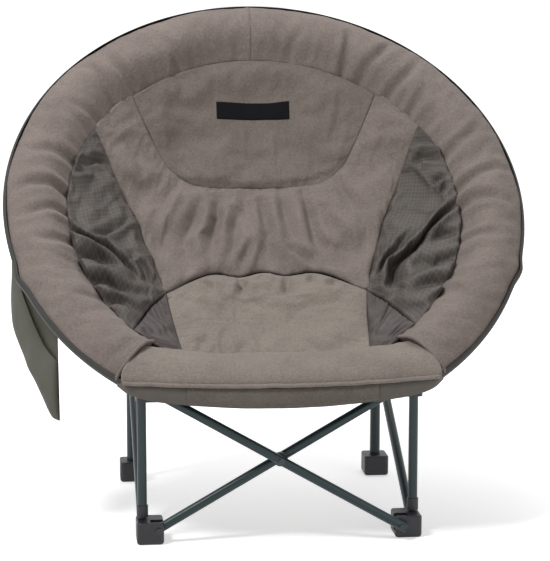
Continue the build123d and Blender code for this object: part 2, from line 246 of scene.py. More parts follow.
class Shader:
    """The node tree of a material or a world, with the shader that it feeds."""

    def __init__(self, owner, surface="Principled BSDF"):
        self.owner = owner
        owner.use_nodes = True
        self.nodes, self.links = owner.node_tree.nodes, owner.node_tree.links
        self.surface = self.nodes[surface]

    @classmethod
    def material(cls, name):
        return cls(bpy.data.materials.new(name))

    def add(self, kind, settings=None, inputs=None, out=0):
        node = self.nodes.new(kind)
        for key, value in (settings or {}).items():
            setattr(node, key, value)
        for key, value in (inputs or {}).items():
            self.put(node.inputs[key], value)
        return Val(self, node.outputs[out])

    def put(self, socket, value):
        if isinstance(value, Val):
            self.links.new(value.socket, socket)
        else:
            socket.default_value = value

    def coords(self, which="Object"):
        return self.add("ShaderNodeTexCoord", out=which)

    def scaled(self, vector, scale):
        return self.add("ShaderNodeVectorMath", {"operation": "MULTIPLY"}, {0: vector, 1: scale})

    def axis(self, vector, which):
        return self.add("ShaderNodeSeparateXYZ", inputs={0: vector}, out=which)

    def noise(self, vector, scale, detail=3.0, rough=0.55):
        return self.add("ShaderNodeTexNoise", {"noise_dimensions": "3D"},
                        {"Vector": vector, "Scale": scale, "Detail": detail, "Roughness": rough})

    def mix(self, factor, a, b):
        return self.add("ShaderNodeMix", {"data_type": "RGBA"}, {0: factor, 6: a, 7: b}, out=2)

    def bump(self, height, distance, strength=1.0):
        return self.add("ShaderNodeBump", inputs={"Height": height, "Distance": distance, "Strength": strength})

    def seen(self):
        """1 for the rays that show a surface itself, straight, mirrored or through glass."""
        camera, glossy, through = (
            self.add("ShaderNodeLightPath", out=f"Is {ray} Ray") for ray in ("Camera", "Glossy", "Transmission")
        )
        return camera + glossy + through

    def set(self, **values):
        for key, value in values.items():
            self.put(self.surface.inputs[key.replace("_", " ")], value)
        return self.owner


def tint(rgb, factor):
    return tuple(min(1.0, c * factor) for c in rgb) + (1.0,)


def fleece(name, rgb, nap=1.0):
    """Short brushed pile: mottled tone and a fine nap."""
    s = Shader.material(name)
    at = s.coords()
    cloud = s.noise(at, 14.0, 4.0)
    fine = s.noise(at, 620.0, 2.0, 0.7)
    pile = s.noise(at, 230.0, 3.0, 0.65)
    tone = s.mix(cloud * 0.5 + fine * 0.45 + pile * 0.85 - 0.4, tint(rgb, 0.55), tint(rgb, 1.42))
    return s.set(Base_Color=tone, Roughness=fine * 0.1 + 0.86, Specular_IOR_Level=0.12, Sheen_Weight=0.15,
                 Sheen_Roughness=0.5, Normal=s.bump(pile * 0.8 + fine * 0.4, 0.003 * nap, 0.8))


def weave(name, rgb, pitch, shine, grid=0.0, depth=0.0004):
    """Plain woven cloth with a yarn pitch in metres, and a ripstop grid where one is asked for."""
    s = Shader.material(name)
    uv = s.coords("UV")
    u, v = s.axis(uv, "X"), s.axis(uv, "Y")
    yarn = (u * (math.tau / pitch)).sine() * (v * (math.tau / pitch)).sine()
    cloud = s.noise(s.coords(), 22.0, 4.0)
    height = yarn * 0.5
    tone = cloud * 0.8 + yarn * 0.12
    if grid:
        line = ((u / grid).fract() > 0.68) + ((v / grid).fract() > 0.68)
        height = height + line * 0.8
        tone = tone + line * 0.55 - 0.4
    base = s.mix(tone, tint(rgb, 0.72), tint(rgb, 1.3))
    return s.set(Base_Color=base, Roughness=cloud * 0.14 + (0.62 - shine), Specular_IOR_Level=0.3 + shine,
                 Normal=s.bump(height, depth, 0.6))


def paint(name, rgb):
    """Powder-coated tube."""
    s = Shader.material(name)
    at = s.coords()
    peel, dust = s.noise(at, 700.0, 2.0), s.noise(at, 12.0, 5.0)
    return s.set(Base_Color=s.mix(dust, tint(rgb, 0.8), tint(rgb, 1.25)), Specular_IOR_Level=0.35,
                 Roughness=dust * 0.1 + 0.3, Coat_Weight=0.12, Coat_Roughness=0.2, Normal=s.bump(peel, 0.0003, 0.5))


def plastic(name, rgb):
    """Moulded plastic with a fine spark-eroded grain."""
    s = Shader.material(name)
    at = s.coords()
    grain, patch = s.noise(at, 1500.0, 2.0), s.noise(at, 25.0, 4.0)
    return s.set(Base_Color=s.mix(patch, tint(rgb, 0.75), tint(rgb, 1.4)), Roughness=patch * 0.15 + 0.36,
                 Specular_IOR_Level=0.5, Normal=s.bump(grain, 0.0002, 0.5))


def steel(name, rgb):
    """Plated pin with fine turning marks."""
    s = Shader.material(name)
    at = s.coords()
    marks = s.noise(s.scaled(at, (60.0, 900.0, 60.0)), 3.0, 3.0)
    return s.set(Base_Color=s.mix(marks, tint(rgb, 0.8), tint(rgb, 1.1)), Metallic=1.0, Roughness=marks * 0.2 + 0.22,
                 Normal=s.bump(marks, 0.0001, 0.4))


class Seam:
    """A smooth line through points of the hoop plane, from 0 to 1 along its length."""

    def __init__(self, points, smooth=True):
        p = np.array(points, float)
        if smooth and len(p) > 2:
            ext = np.vstack([2 * p[0] - p[1], p, 2 * p[-1] - p[-2]])
            t = np.linspace(0, 1, 24, endpoint=False)[:, None]
            runs = [0.5 * (2 * b + (c - a) * t + (2 * a - 5 * b + 4 * c - d) * t**2 + (3 * b - a - 3 * c + d) * t**3)
                    for a, b, c, d in zip(ext, ext[1:], ext[2:], ext[3:])]
            p = np.vstack(runs + [p[-1:]])
        self.p = p
        self.s = np.concatenate([[0], np.cumsum(np.linalg.norm(np.diff(p, axis=0), axis=1))])
        self.s /= max(self.s[-1], 1e-9)

    def __call__(self, t):
        return np.array([np.interp(t, self.s, self.p[:, 0]), np.interp(t, self.s, self.p[:, 1])])


def arc(a, b, r=PAD_R):
    """Points of the rim's inner seam between two angles, counted from the hoop's top towards the right."""
    return [(r * math.sin(q), r * math.cos(q)) for q in np.linspace(a, b, 16)]


def bearing(x, y):
    return math.atan2(x, y)


def flip(points):
    return [(-x, y) for x, y in points]


BOWL_FIT = np.linalg.solve([[r**2, r**4, r**6] for r, _ in BOWL], [n - BOWL_LOW for _, n in BOWL])


def bowl(r):
    return BOWL_LOW + BOWL_FIT[0] * r**2 + BOWL_FIT[1] * r**4 + BOWL_FIT[2] * r**6


def slope(r):
    return 2 * BOWL_FIT[0] * r + 4 * BOWL_FIT[1] * r**3 + 6 * BOWL_FIT[2] * r**5


class Hoop:
    """The hoop plane's place in the shared frame."""

    def __init__(self, sizes):
        self.t = Vector((0, math.cos(sizes.hoop_tilt), math.sin(sizes.hoop_tilt)))
        self.n = Vector((0, -math.sin(sizes.hoop_tilt), math.cos(sizes.hoop_tilt)))
        self.centre = HINGE - self.t * sizes.hoop_radius

    def at(self, x, y, n):
        return self.centre + (Vector((1, 0, 0)) * x + self.t * y + self.n * n) * MM

    def local(self, p):
        d = (p - self.centre) / MM
        return d.x, d.dot(self.t), d.dot(self.n)


def wobble(*at, seed=0.0):
    return noise.noise(Vector((at[0], at[1] if len(at) > 1 else 0.0, seed)))


def fold(value):
    """Rounded ridges with tight valleys between them, as cloth gathers on a thread."""
    return 0.55 - abs(value) ** 0.6


def creased(x, y, creases):
    """Depth of the creases at a point: a valley along each line with soft shoulders."""
    total = 0.0
    here = Vector((x, y))
    for line, depth, width in creases:
        best, where = 1e9, 0.0
        for i, (a, b) in enumerate(zip(line, line[1:])):
            a, b = Vector(a), Vector(b)
            t = max(0.0, min(1.0, (here - a).dot(b - a) / (b - a).length_squared))
            off = (here - a - (b - a) * t).length
            if off < best:
                best, where = off, (i + t) / (len(line) - 1)
        if best < width * 5:
            fade = min(1.0, 0.35 + 2.6 * where) * min(1.0, 0.05 + 2.2 * (1 - where))
            wide = width * (0.8 + 0.5 * where)
            total += fade * depth * (0.55 * math.exp(-((best / wide - 1.7) ** 2)) - math.exp(-((best / wide) ** 2)))
    return total


def outward(bm):
    """Turns each closed shell so that its faces look out of it."""
    bmesh.ops.recalc_face_normals(bm, faces=bm.faces)
    left = set(bm.faces)
    while left:
        shell, queue = set(), [left.pop()]
        while queue:
            face = queue.pop()
            shell.add(face)
            near = {f for edge in face.edges for f in edge.link_faces} & left
            left -= near
            queue.extend(near)
        if sum(f.normal.dot(f.calc_center_median()) * f.calc_area() for f in shell) < 0:
            bmesh.ops.reverse_faces(bm, faces=list(shell))


def as_object(bm, name, material):
    mesh = bpy.data.meshes.new(name)
    bm.to_mesh(mesh)
    bm.free()
    mesh.materials.append(material)
    for polygon in mesh.polygons:
        polygon.use_smooth = True
    obj = bpy.data.objects.new(name, mesh)
    bpy.context.scene.collection.objects.link(obj)
    return obj


def finish_mesh(bm, name, material):
    """A closed piece from a bmesh."""
    bmesh.ops.remove_doubles(bm, verts=bm.verts, dist=WELD)
    outward(bm)
    return as_object(bm, name, material)


def thicken(obj, amount):
    m = obj.modifiers.new("thickness", "SOLIDIFY")
    m.thickness, m.offset, m.use_even_offset = amount, -1.0, False


def face_up(bm, direction):
    """Turns an open sheet so that its faces look along direction."""
    bmesh.ops.recalc_face_normals(bm, faces=bm.faces)
    total = sum((f.normal * f.calc_area() for f in bm.faces), Vector())
    if total.dot(direction) < 0:
        bmesh.ops.reverse_faces(bm, faces=bm.faces)


def open_sheet(bm, name, material, direction):
    """A sheet from a bmesh, facing along direction, for Solidify to thicken."""
    bmesh.ops.remove_doubles(bm, verts=bm.verts, dist=WELD)
    face_up(bm, direction)
    return as_object(bm, name, material)


def patch(low, high, left, right, nu, nv, place, uv_size):
    """A grid drawn to four seams; place(x, y, u, v) gives each point."""
    bm = bmesh.new()
    uv = bm.loops.layers.uv.new("UVMap")
    bmesh.ops.create_grid(bm, x_segments=nu, y_segments=nv, size=0.5)
    flat = {}
    for vert in bm.verts:
        u, v = vert.co.x + 0.5, vert.co.y + 0.5
        edge = (1 - v) * low(u) + v * high(u) + (1 - u) * left(v) + u * right(v)
        corner = ((1 - u) * (1 - v) * low(0) + u * (1 - v) * low(1) + (1 - u) * v * high(0) + u * v * high(1))
        flat[vert] = (u, v)
        vert.co = place(*(edge - corner), u, v)
    for face in bm.faces:
        for loop in face.loops:
            u, v = flat[loop.vert]
            loop[uv].uv = (u * uv_size[0], v * uv_size[1])
    return bm


def welt(bm, path, radius):
    """Adds a round sewn edging along a path."""
    rings = []
    for i, p in enumerate(path):
        along = (path[min(i + 1, len(path) - 1)] - path[max(i - 1, 0)]).normalized()
        turn = along.to_track_quat("Z", "Y").to_matrix().to_4x4()
        made = bmesh.ops.create_circle(bm, cap_ends=i in (0, len(path) - 1), segments=8, radius=radius,
                                       matrix=Matrix.Translation(p) @ turn)["verts"]
        rings.append({e for v in made for e in v.link_edges if e.other_vert(v) in made})
    for a, b in zip(rings, rings[1:]):
        bmesh.ops.bridge_loops(bm, edges=list(a | b))


def shape(u, v, power=0.45):
    return max(0.0, 16 * u * (1 - u) * v * (1 - v)) ** power


def across(obj, hoop, bend=BEND):
    """Bakes the piece's transform into its mesh; the ends of the span between the two hoop halves are worked out but
    not used, so the cloth does not bend with them.
    """
    start, end = hoop.at(-bend, 0, -60), hoop.at(bend, 0, -60)
    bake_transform(obj)
    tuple(start)
    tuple(end)


def settle(obj, held, grow, pressure, cap):
    """Runs cloth over a padded piece sewn down where held, and keeps each point within cap of where it began."""
    mesh, scene = obj.data, bpy.context.scene
    sewn = [v.index for v in mesh.vertices if held(v)]
    tree = KDTree(len(sewn))
    for index in sewn:
        tree.insert(mesh.vertices[index].co, index)
    tree.balance()
    group = obj.vertex_groups.new(name="sewn")
    for vert in mesh.vertices:
        grip = 1 - tree.find(vert.co)[2] / SEAM_GRIP
        if grip > 0:
            group.add([vert.index], grip, "REPLACE")
    cloth = obj.modifiers.new("cloth", "CLOTH")
    rules = cloth.settings
    rules.vertex_group_mass = group.name
    rules.quality, rules.mass, rules.air_damping = 6, 0.2, 4.0
    rules.tension_stiffness = rules.compression_stiffness = 20.0
    rules.shear_stiffness, rules.bending_stiffness = 8.0, 0.4
    rules.shrink_min = -grow
    rules.use_pressure, rules.uniform_pressure_force = True, pressure
    rules.effector_weights.gravity = 0.0
    cloth.point_cache.frame_start, cloth.point_cache.frame_end = 1, CLOTH_FRAMES
    for number in range(1, CLOTH_FRAMES + 1):
        scene.frame_set(number)
    swollen = obj.evaluated_get(bpy.context.evaluated_depsgraph_get()).to_mesh()
    start = np.array([v.co for v in mesh.vertices])
    moves = np.array([v.co for v in swollen.vertices]) - start
    obj.modifiers.remove(cloth)
    obj.vertex_groups.remove(group)
    scene.frame_set(1)
    moves = evened(moves, np.array([e.vertices[:] for e in mesh.edges]))
    moves *= (cap / np.maximum(cap, np.linalg.norm(moves, axis=1)))[:, None]
    moves[sewn] = 0.0
    mesh.vertices.foreach_set("co", (start + moves).ravel())
    mesh.update()


def evened(moves, edges, rounds=3):
    """Each point's move, drawn towards the mean of its neighbours' moves."""
    ends = np.concatenate([edges, edges[:, ::-1]])
    count = np.bincount(ends[:, 0], minlength=len(moves))[:, None]
    for _ in range(rounds):
        total = np.zeros_like(moves)
        np.add.at(total, ends[:, 0], moves[ends[:, 1]])
        moves = (moves + total / np.maximum(count, 1)) / 2
    return moves


def boundary(obj):
    """Whether a vertex is on the edge of an open sheet."""
    count = {}
    for polygon in obj.data.polygons:
        for key in polygon.edge_keys:
            count[key] = count.get(key, 0) + 1
    rim = {i for key, n in count.items() if n == 1 for i in key}
    return lambda vert: vert.index in rim


class ChairOperator(bpy.types.Operator):
    """Shared parts of the chair's operators"""

    bl_idname = "chair.base"
    bl_label = "Chair"
    bl_options = {"REGISTER", "UNDO"}

    def execute(self, context):
        self.sizes, self.colours = context.scene.chair_sizes, context.scene.chair_colours
        self.hoop = Hoop(self.sizes)
        self.build()
        return {"FINISHED"}


class CHAIR_OT_rim(ChairOperator):
    """Pads the two halves of the hoop's rim"""

    bl_idname = "chair.rim"
    bl_label = "Rim Pads"

    def build(self):
        cloth = fleece("rim fleece", self.colours.fleece)
        for side, sign in (("left", -1), ("right", 1)):
            obj = self.half(side, sign, cloth)
            across(obj, self.hoop, RIM_BEND)
            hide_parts(side + "_rim_pad")

    def dent(self, along, r, angle, depth, width, reach):
        """A crease that runs outwards from the inner seam, bowed a little, with soft shoulders."""
        across = (r - 346) / 111
        if across > reach:
            return 0.0
        off = (along - math.radians(angle) * PAD_R - 9 * math.sin(across * 3 + angle)) / width
        fade = min(1.0, (reach - across) * 3) * (0.4 + 0.6 * (1 - across))
        return depth * fade * (0.5 * math.exp(-((abs(off) - 1.7) ** 2)) - math.exp(-(off**2)))

    def half(self, side, sign, cloth):
        bm = bmesh.new()
        line = Seam(RIM + RIM[:1])
        section = [line(t) for t in np.linspace(0, 1, 44, endpoint=False)]
        ring = [bm.verts.new(self.hoop.at(0, r, n)) for r, n in section]
        edges = [bm.edges.new((a, b)) for a, b in zip(ring, ring[1:] + ring[:1])]
        sweep = RIM_SWEEP
        bmesh.ops.spin(bm, geom=ring + edges, cent=self.hoop.centre, axis=self.hoop.n, angle=-sign * sweep,
                       steps=self.sizes.steps, dvec=(0, 0, 0))
        depth = self.sizes.crease / MM
        for vert in bm.verts:
            x, y, n = self.hoop.local(vert.co)
            r, q = math.hypot(x, y), abs(math.atan2(x, y))
            along = q * PAD_R / 100
            top = max(0.0, min(1.0, (n + 27) / 12))
            near = math.exp(-max(0.0, r - 352) / 42)
            gather = (fold(wobble(along * 2.6, r * 0.005, seed=sign * 5)) - 0.2) * near * depth * 1.7
            short = (fold(wobble(along * 5.2, r * 0.008, seed=sign * 6)) - 0.2) * near**2 * depth * 0.7
            ripple = wobble(along * 1.25, r * 0.010, seed=sign * 9 + 2) * 6.5
            fine = wobble(along * 6.0 + r * 0.02, r * 0.03, seed=3) * 1.6
            pull = wobble(along * 2.2, 0.0, seed=sign * 13) * 3.0 * near
            pull += wobble(along * 0.9, 0.0, seed=sign * 15) * 3.5
            end = min(1.0, min(q, sweep - q) / 0.05)
            pull += 4.0 * math.exp(-(((q - BUMP_AT) / 0.05) ** 2))
            dents = LEFT_DENTS if sign < 0 else RIGHT_DENTS
            dent = sum(self.dent(along * 100, r, *d) for d in dents)
            lift = (gather * 0.6 + short + ripple + fine + dent) * top * end
            vert.co = self.hoop.at(x * (1 + pull * end / r), y * (1 + pull * end / r), n + lift)
        bmesh.ops.holes_fill(bm, edges=[e for e in bm.edges if e.is_boundary])
        edge = Seam([(347, -20), (353, -9), (380, 18), (420, 26), (450, 15), (457, 4)])
        ends = [edge(t) for t in np.linspace(0, 1, 20)]
        welt(bm, [self.hoop.at(sign * r * math.sin(sweep), r * math.cos(sweep), n) for r, n in ends], RIM_WELT)
        obj = finish_mesh(bm, side + "_rim_padding", cloth)
        settle(obj, self.sewn, self.sizes.slack, RIM_PRESSURE, CLOTH_CAP)
        return obj

    def sewn(self, vert):
        """The rim is held under its top face, along both seams and at its welted ends."""
        x, y, n = self.hoop.local(vert.co)
        return n < -14 or math.hypot(x, y) > 450 or abs(math.atan2(x, y)) > 2.47 or abs(x) < 2


class CHAIR_OT_panels(ChairOperator):
    """Sews the headrest, back, seat, side and corner panels into the bowl"""

    bl_idname = "chair.panels"
    bl_label = "Seat Panels"

    def build(self):
        c = self.colours
        f, hd, st = fleece("back fleece", c.fleece), fleece("head fleece", c.head), fleece("seat fleece", c.seat)
        rip = weave("side ripstop", c.ripstop, 0.0024, 0.16, grid=0.0066, depth=0.0009)
        ny = weave("corner nylon", c.nylon, 0.0011, 0.2)
        start, end = bearing(293, 182), bearing(238, -250)
        tip, low = bearing(224, 262), bearing(190, -288)
        self.panel("headrest", "head_panel", hd,
                   (Seam(HEAD_LOW), Seam(arc(-tip, tip)), Seam(flip(HEAD_SIDE)), Seam(HEAD_SIDE)), (110, 50),
                   (0.44, 0.15), self.head_folds, 1.0, "head_fleece")
        outer = flip(SIDE_IN) + REAR[1:-1] + SIDE_IN[::-1]
        inner = flip(HEAD_SIDE[::-1]) + HEAD_LOW[1:-1] + HEAD_SIDE
        self.panel("back", "back_panel", f, (Seam(outer), Seam(inner), Seam(arc(-start, -tip)), Seam(arc(start, tip))),
                   (220, 44), (1.0, 0.2), self.back_folds, 1.0, "fleece")
        edge = [(178, -129), (166, -236), (160, FRONT_Y)][::-1]
        self.panel("seat", "seat_panel", st, (Seam([(-160, FRONT_Y), (160, FRONT_Y)]), Seam(REAR), Seam(flip(edge)),
                   Seam(edge)), (110, 70), (0.33, 0.22), self.seat_folds, 1.2, "seat_fleece")
        for side, sign in (("left", -1), ("right", 1)):
            way = flip if sign < 0 else list
            top = [(293, 182), (293.5, 181)]
            self.panel(side + "_side", side + "_side_panel", rip,
                       (Seam(way(WEDGE)), Seam(way(top)), Seam(way(SIDE_IN[::-1])), Seam(way(arc(end, start)))),
                       (60, 110), (0.14, 0.36), self.side_folds, 0.5, "ripstop", 3.4)
            foot = FRONT_Y - 10
            tail = [(196, foot)] + arc(low, end)[1:] + [(208, -176), (178, -129)]
            self.panel(side + "_corner", side + "_corner_panel", ny,
                       (Seam(way([(159, foot), (196, foot)])), Seam(way([(178, -129), (178.5, -129.5)])),
                        Seam(way([(159, foot)] + edge[1:])), Seam(way(tail), False)), (40, 60), (0.07, 0.17),
                       self.corner_folds, 0.5, "nylon", 2.0)

    def panel(self, name, node, cloth, seams, counts, uv, folds, puff, slot, loose=1.0):
        sizes = self.sizes

        def place(x, y, u, v):
            r = math.hypot(x, y)
            s = shape(u, v)
            n = bowl(min(r, 350)) + (sizes.pad_puff * puff * s - sizes.seam_dip * (1 - min(1.0, s * 1.8))) / MM
            return self.hoop.at(x, y, n + folds(x, y, u, v) * min(1.0, s * 2.2))

        bm = patch(*seams, *counts, place, uv)
        obj = open_sheet(bm, name + "_panel_cloth", cloth, self.hoop.n)
        edge = boundary(obj)
        settle(obj, lambda v: edge(v) or self.labelled(v), sizes.slack * loose, PANEL_PRESSURE,
               CLOTH_CAP * max(1.0, loose / 2))
        thick = sizes.cloth_thickness * 2.5 if slot == "ripstop" else sizes.pad_thickness
        self.bear(obj, thick / MM)
        thicken(obj, thick)
        if node.startswith(("left", "right")):
            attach(obj, node.split("_")[0] + "_hoop")
        else:
            across(obj, self.hoop)
        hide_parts(node)

    def bear(self, obj, thick):
        """Flattens the valleys of a panel where its underside would go through the sling."""
        for vert in obj.data.vertices:
            x, y, n = self.hoop.local(vert.co)
            r = min(math.hypot(x, y), PAD_R)
            low = min(-0.8, (thick + 2.2) * math.hypot(1, slope(r)) - SLING_DROP + 0.5)
            deep = n - bowl(r)
            if deep < low * 0.4:
                deep = low - 0.6 * low * math.exp((0.4 * low - deep) / (0.6 * low))
            vert.co = self.hoop.at(x, y, bowl(r) + deep)

    def labelled(self, vert):
        """The headrest is sewn flat under its label."""
        x, y, _ = self.hoop.local(vert.co)
        half, bottom, top = LABEL
        return abs(x) < half + 6 and bottom - 5 < y < top + 5

    def head_folds(self, x, y, u, v):
        low = (fold(wobble(u * 13, v * 1.2, seed=7)) - 0.2) * 6.5 * math.exp(-v * 4)
        high = (fold(wobble(u * 11, v, seed=8)) - 0.2) * 5.0 * math.exp(-(1 - v) * 5)
        return low + high + wobble(x * 0.012, y * 0.02, seed=1) * 5.0 + wobble(x * 0.03, y * 0.03, seed=2) * 1.6

    def back_folds(self, x, y, u, v):
        spread = x / (1 + max(0, 110 - y) * 0.004)
        deep = (fold(wobble(spread * 0.026, y * 0.005, seed=11)) - 0.2) * 9.5
        seam = (fold(wobble(u * 40, v * 2, seed=12)) - 0.2) * 8.0 * (math.exp(-v * 4.5) + 0.7 * math.exp(-(1 - v) * 5))
        drawn = creased(x, y, BACK_CREASES)
        return deep * 0.4 * math.exp(-(x / 220) ** 2) + drawn + seam * 0.8 + wobble(x * 0.016, y * 0.016, seed=13) * 4.0

    def seat_folds(self, x, y, u, v):
        rear = (fold(wobble(u * 12, v * 1.5, seed=21)) - 0.2) * 12.0 * math.exp(-(1 - v) * 4.5)
        front = (fold(wobble(u * 10, v * 1.5, seed=22)) - 0.2) * 7.0 * math.exp(-v * 5)
        sides = (fold(wobble(v * 7, u * 2, seed=23)) - 0.2) * 6.0 * (math.exp(-u * 7) + math.exp(-(1 - u) * 7))
        return rear * 0.5 + front + sides + creased(x, y, SEAT_CREASES) + wobble(x * 0.014, y * 0.016, seed=24) * 5.0

    def side_folds(self, x, y, u, v):
        slant = abs(x) * 0.62 + y * 0.78
        across_fold = abs(x) * 0.78 - y * 0.62
        long = (fold(wobble(slant * 0.024, across_fold * 0.006, seed=math.copysign(31, x))) - 0.2) * 15.0
        cross = (fold(wobble(across_fold * 0.020, slant * 0.007, seed=math.copysign(33, x))) - 0.2) * 10.0
        own = creased(abs(x) + wobble(y * 0.02, x * 0.02, seed=35) * 9, y, RIGHT_CREASES if x > 0 else LEFT_CREASES)
        return (long + cross) * 0.22 + own * 1.4 + 8.0 + wobble(x * 0.05, y * 0.05, seed=34) * 1.6

    def corner_folds(self, x, y, u, v):
        fan = math.atan2(y + 300, abs(x) - 150)
        crease = (fold(wobble(fan * 7, 0.0, seed=math.copysign(41, x))) - 0.25) * 13.0 * min(1.0, u * 2.4)
        return crease + wobble(x * 0.03, y * 0.03, seed=42) * 3.0


class CHAIR_OT_label(ChairOperator):
    """Sews the bare label onto the headrest"""

    bl_idname = "chair.label"
    bl_label = "Bare Label"

    def build(self):
        cloth = weave("label weave", self.colours.label, 0.0008, -0.2, depth=0.0002)
        head = bpy.data.objects["headrest_panel_cloth"]
        tree = BVHTree.FromPolygons([v.co for v in head.data.vertices], [p.vertices[:] for p in head.data.polygons])

        def place(x, y, u, v):
            hit = tree.ray_cast(self.hoop.at(x, y, 80), -self.hoop.n)[0]
            rim = min(u, 1 - u, (v * 0.22), (1 - v) * 0.22) < 0.012
            return hit + self.hoop.n * (0.0007 if rim else 0.0014)

        half, bottom, top = LABEL
        low, high = [(-half, bottom), (half, bottom)], [(-half, top), (half, top)]
        bm = patch(Seam(low), Seam(high), Seam([low[0], high[0]]), Seam([low[1], high[1]]), 68, 16, place,
                   (0.136, 0.03))
        obj = open_sheet(bm, "bare_label", cloth, self.hoop.n)
        thicken(obj, 0.0008)
        across(obj, self.hoop)
        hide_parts("blank_label")


class CHAIR_OT_sling(ChairOperator):
    """Stretches the outer sling under the panels and round the hoop"""

    bl_idname = "chair.sling"
    bl_label = "Sling"

    def build(self):
        cloth = weave("sling cloth", self.colours.sling, 0.0016, 0.12)
        inner = [(r, bowl(r) - SLING_DROP) for r in (330, 300, 260, 215, 170, 125, 80, 40, 1)]
        bm = bmesh.new()
        line = Seam(SLEEVE + inner)
        path = [line(t) for t in np.linspace(0, 1, 64)]
        under = [p for p in path if p[0] < 349]
        self.turn(bm, path, 0.0, SLING_SWEEP, 180)
        self.turn(bm, under, SLING_SWEEP, math.pi - SLING_SWEEP, 40)
        flat = self.hoop.at(0, FRONT_Y - 4, 0)
        geom = bm.verts[:] + bm.edges[:] + bm.faces[:]
        bmesh.ops.bisect_plane(bm, geom=geom, dist=0.00001, plane_co=flat, plane_no=-self.hoop.t)
        gone = [f for f in bm.faces if self.front(f.calc_center_median())]
        bmesh.ops.delete(bm, geom=gone, context="FACES")
        bmesh.ops.remove_doubles(bm, verts=bm.verts, dist=0.00005)
        middle = [v for v in bm.verts if math.hypot(*self.hoop.local(v.co)[:2]) < 1.5]
        bmesh.ops.pointmerge(bm, verts=middle, merge_co=self.hoop.at(0, 0, inner[-1][1]))
        uv = bm.loops.layers.uv.new("UVMap")
        for vert in bm.verts:
            x, y, n = self.hoop.local(vert.co)
            r, q = math.hypot(x, y), math.atan2(x, y)
            slack = max(0.0, min(1.0, (440 - r) / 60)) * min(1.0, r / 280) ** 2
            n += (fold(wobble(q * 6, r * 0.004, seed=51)) - 0.4) * 3.2 * slack - 1.0 * slack
            bump = 6.0 * math.exp(-(((abs(q) - BUMP_AT) / 0.045) ** 2))
            out = 1 + bump / max(r, 60) * max(0.0, min(1.0, (r - 420) / 20))
            vert.co = self.hoop.at(x * out, y * out, n)
        for face in bm.faces:
            for loop in face.loops:
                x, y, n = self.hoop.local(loop.vert.co)
                loop[uv].uv = (x * MM, y * MM)
        obj = open_sheet(bm, "outer_sling", cloth, self.hoop.n)
        thicken(obj, self.sizes.cloth_thickness)
        across(obj, self.hoop)
        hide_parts("sling")

    def front(self, at):
        x, y, n = self.hoop.local(at)
        return y < FRONT_Y - 4 and math.hypot(x, y) < 352 and n < -20

    def turn(self, bm, path, start, sweep, steps):
        """Turns a profile both ways about the hoop's axis, from an angle off the top."""
        for sign in (1, -1):
            q = sign * start
            ring = [bm.verts.new(self.hoop.at(r * math.sin(q), r * math.cos(q), n)) for r, n in path]
            edges = [bm.edges.new(pair) for pair in zip(ring, ring[1:])]
            bmesh.ops.spin(bm, geom=ring + edges, cent=self.hoop.centre, axis=self.hoop.n, angle=-sign * sweep,
                           steps=steps, dvec=(0, 0, 0))


